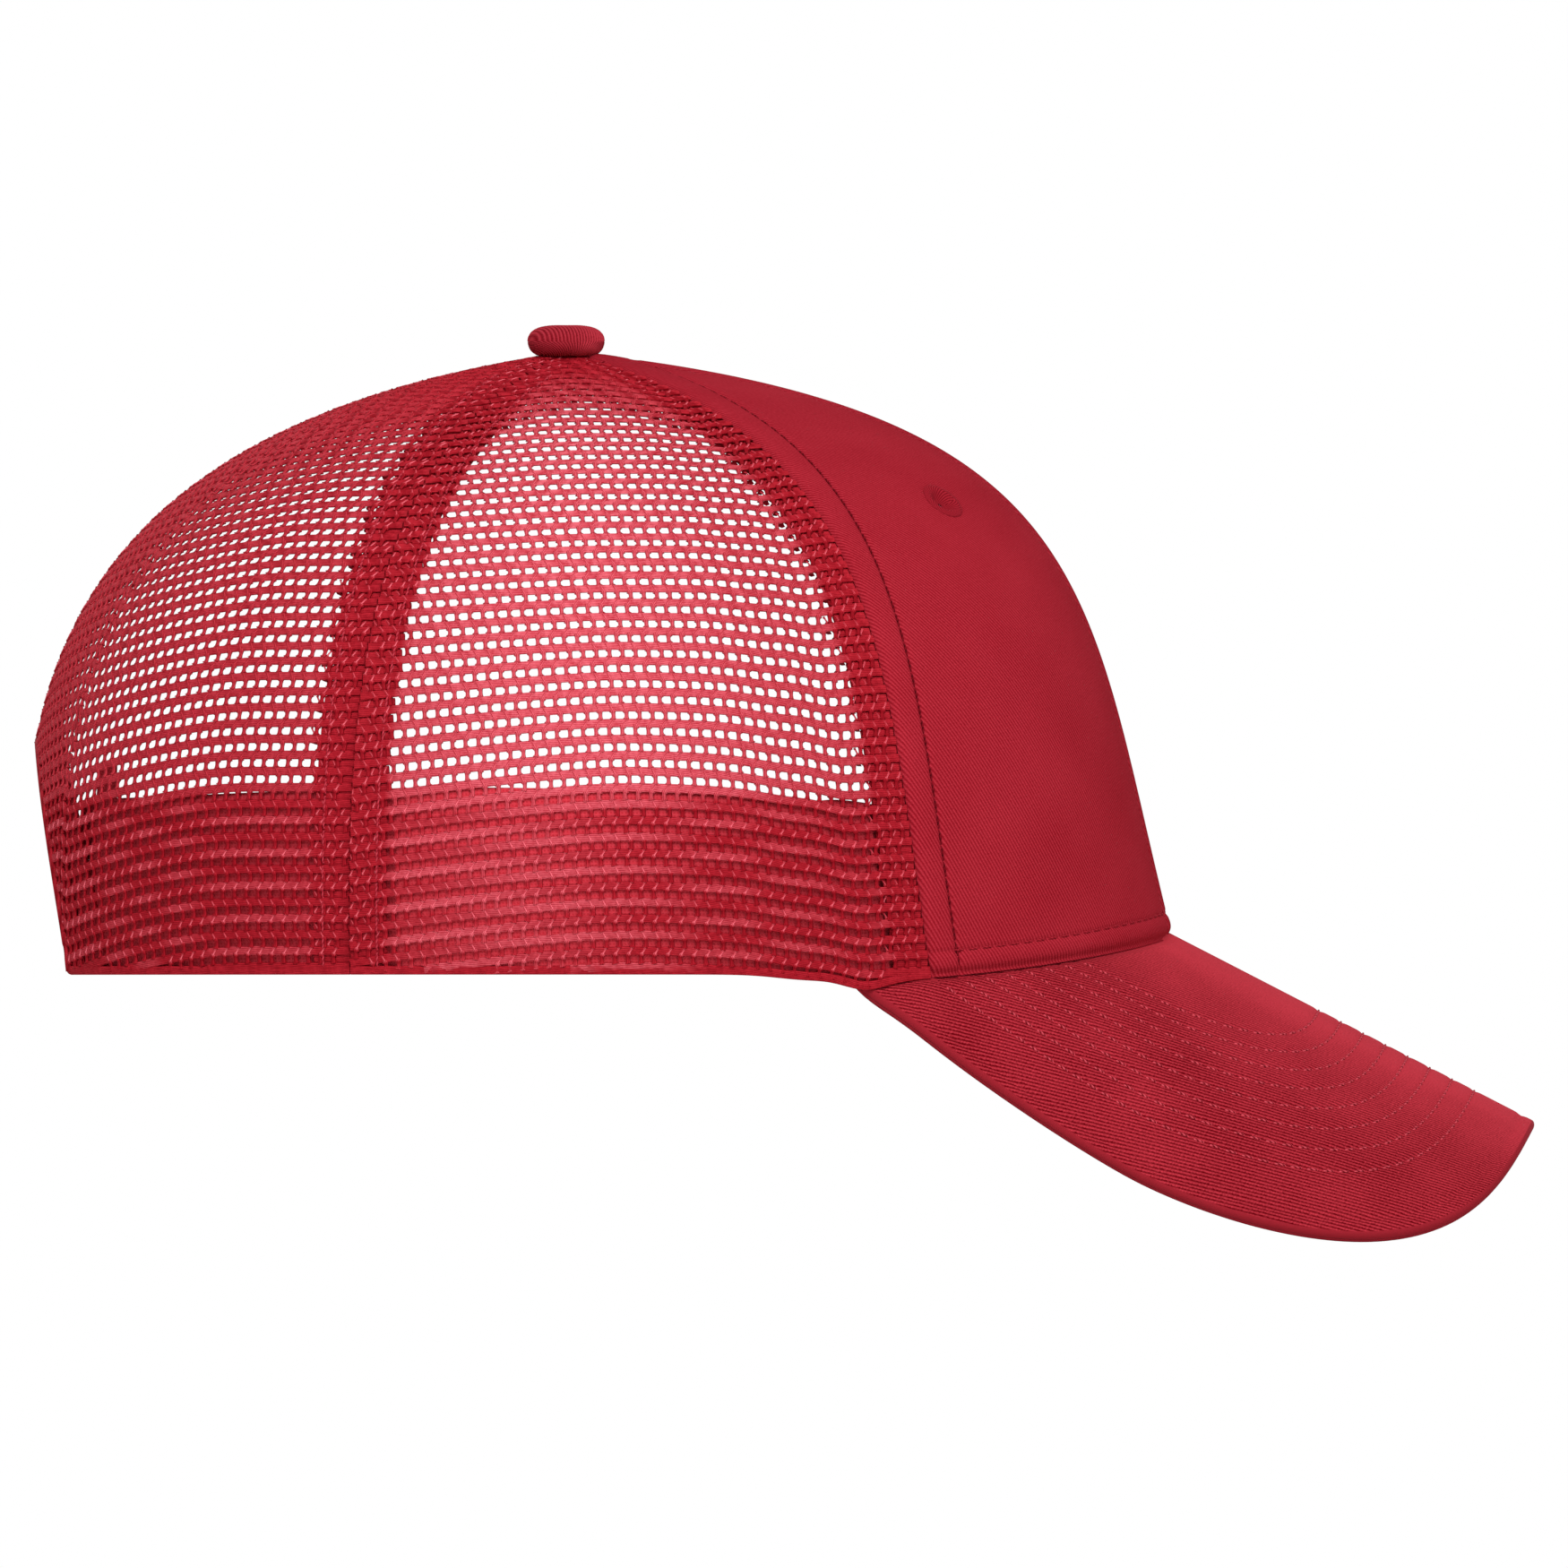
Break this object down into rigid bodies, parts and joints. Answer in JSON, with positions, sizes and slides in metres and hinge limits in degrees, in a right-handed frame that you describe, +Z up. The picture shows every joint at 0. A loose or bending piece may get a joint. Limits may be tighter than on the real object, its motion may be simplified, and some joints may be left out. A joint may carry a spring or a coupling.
{
  "type": "trucker cap",
  "caption": "Baseball-style cap with stiffened twill front panels, open mesh side and back panels, a curved stitched bill, a sweatband, a top button and a snap closure in a back arch.",
  "frame": {"origin": "centre of the head opening, in the plane of the crown's lower edge", "axes": "+X to the front of the cap, along the bill; +Y to the wearer's left; +Z up, from the head opening to the button"},
  "size_m": [0.2786, 0.169, 0.1711],
  "materials": {
    "front_twill": "fine diagonal twill, matt",
    "buckram": "stiff open gauze, off white",
    "mesh": "open knitted mesh of shiny yarn",
    "seam_tape": "folded twill tape",
    "interlining": "soft nonwoven",
    "sweatband_twill": "brushed twill",
    "board": "moulded sheet",
    "bill_twill": "ribbed twill, matt",
    "button_metal": "pressed tinplate",
    "button_twill": "twill, stretched",
    "eyelet_thread": "satin-stitched thread",
    "closure_plastic": "moulded polyethylene, soft sheen"
  },
  "bodies": {
    "cap": {"front_panel_right": "front_twill", "front_panel_left": "front_twill", "front_buckram_right": "buckram", "front_buckram_left": "buckram", "side_mesh_right": "mesh", "side_mesh_left": "mesh", "back_mesh_right": "mesh", "back_mesh_left": "mesh", "front_centre_tape": "seam_tape", "front_seam_tape_right": "seam_tape", "front_seam_tape_left": "seam_tape", "side_seam_tape_right": "seam_tape", "side_seam_tape_left": "seam_tape", "back_centre_tape": "seam_tape", "back_arch_tape": "seam_tape", "sweatband_lining": "interlining", "sweatband": "sweatband_twill", "bill_board": "board", "bill_top_cover": "bill_twill", "bill_under_cover": "bill_twill", "button_shell": "button_metal", "button_cover": "button_twill", "button_prong": "button_metal", "eyelet_right": "eyelet_thread", "eyelet_left": "eyelet_thread", "peg_strap_tab": "closure_plastic", "hole_strap_tab": "closure_plastic"},
    "peg_strap": {"peg_strap": "closure_plastic"},
    "hole_strap": {"hole_strap": "closure_plastic"}
  },
  "joints": [
    {"name": "hole_strap_swing", "type": "hinge", "parent": "cap", "child": "hole_strap", "pos_m": [-0.10295, 0.0292, 0.01205], "axis": [0.0523, 0, -0.9986], "range_deg": [0, 100], "stiffness_Nm_per_rad": 0.01},
    {"name": "peg_strap_flex", "type": "hinge", "parent": "cap", "child": "peg_strap", "pos_m": [-0.10145, -0.0292, 0.01212], "axis": [0.0523, 0, -0.9986], "range_deg": [0, 30], "stiffness_Nm_per_rad": 0.01}
  ]
}
